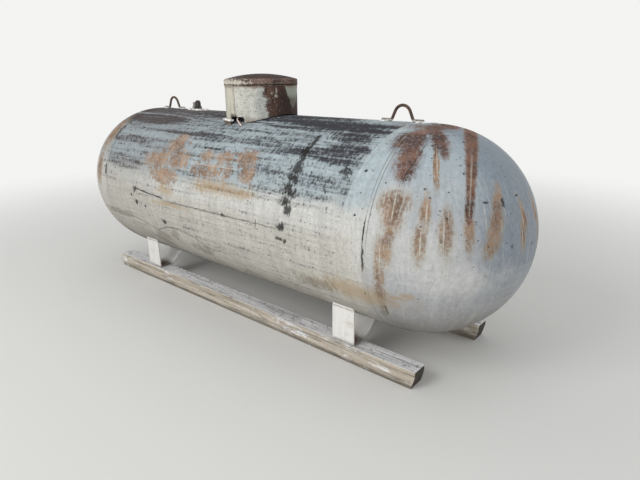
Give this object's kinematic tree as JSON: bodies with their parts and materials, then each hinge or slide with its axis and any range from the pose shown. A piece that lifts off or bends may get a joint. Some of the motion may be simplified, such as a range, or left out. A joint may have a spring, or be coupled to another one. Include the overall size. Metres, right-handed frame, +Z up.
{
  "type": "horizontal pressure tank for liquid petroleum gas",
  "caption": "Horizontal steel pressure tank with round heads, a hinged round valve hood, lifting lugs, folded plate legs and timber skids.",
  "frame": {"origin": "on the ground under the middle of the vessel", "axes": "+X along the vessel, -Y the near side with the hood's notch, +Z up"},
  "size_m": [3.0226, 0.9548, 1.319],
  "materials": {
    "vessel_paint": "weathered pale green-grey paint with mildew and rust",
    "leg_paint": "worn white paint",
    "hood_paint": "worn cream paint with a large rust patch",
    "lid_rust": "matt rust",
    "rusty_steel": "matt dark rust",
    "dark_steel": "dirty dark steel",
    "timber": "grey weathered softwood with white paint remains",
    "valve_brass": "dull weathered brass",
    "line_copper": "weathered copper",
    "cap_plastic": "faded red plastic",
    "wheel_paint": "worn red paint",
    "dial_face": "clear yellowed dial cover"
  },
  "bodies": {
    "tank": {"shell": "vessel_paint", "head_left": "vessel_paint", "head_right": "vessel_paint", "girth_weld_left": "vessel_paint", "girth_weld_right": "vessel_paint", "long_seam_weld": "vessel_paint", "lug_left": "rusty_steel", "lug_right": "rusty_steel", "leg_near_left": "leg_paint", "leg_near_right": "leg_paint", "leg_far_left": "leg_paint", "leg_far_right": "leg_paint", "skid_near": "timber", "skid_far": "timber", "ridge_pad": "leg_paint", "ridge_valve": "dark_steel", "ridge_vent": "vessel_paint", "ridge_cap": "dark_steel", "couplings": "vessel_paint", "fill_valve": "valve_brass", "fill_cap": "dark_steel", "relief_valve": "valve_brass", "relief_cap": "cap_plastic", "vapour_valve": "valve_brass", "vapour_cap": "dark_steel", "service_valve": "valve_brass", "service_wheel": "wheel_paint", "service_line": "line_copper", "level_gauge": "dark_steel", "gauge_dial": "dial_face", "hinge_ears": "rusty_steel", "hinge_pin": "dark_steel", "hood_rest": "rusty_steel"},
    "hood": {"hood_wall": "hood_paint", "hood_lid": "lid_rust", "hinge_leaf": "rusty_steel", "hood_lip": "leg_paint"}
  },
  "joints": [
    {"name": "hood_hinge", "type": "hinge", "parent": "tank", "child": "hood", "pos_m": [-0.035, 0.214, 1.0723], "axis": [-1, 0, 0], "range_deg": [0, 100]}
  ]
}
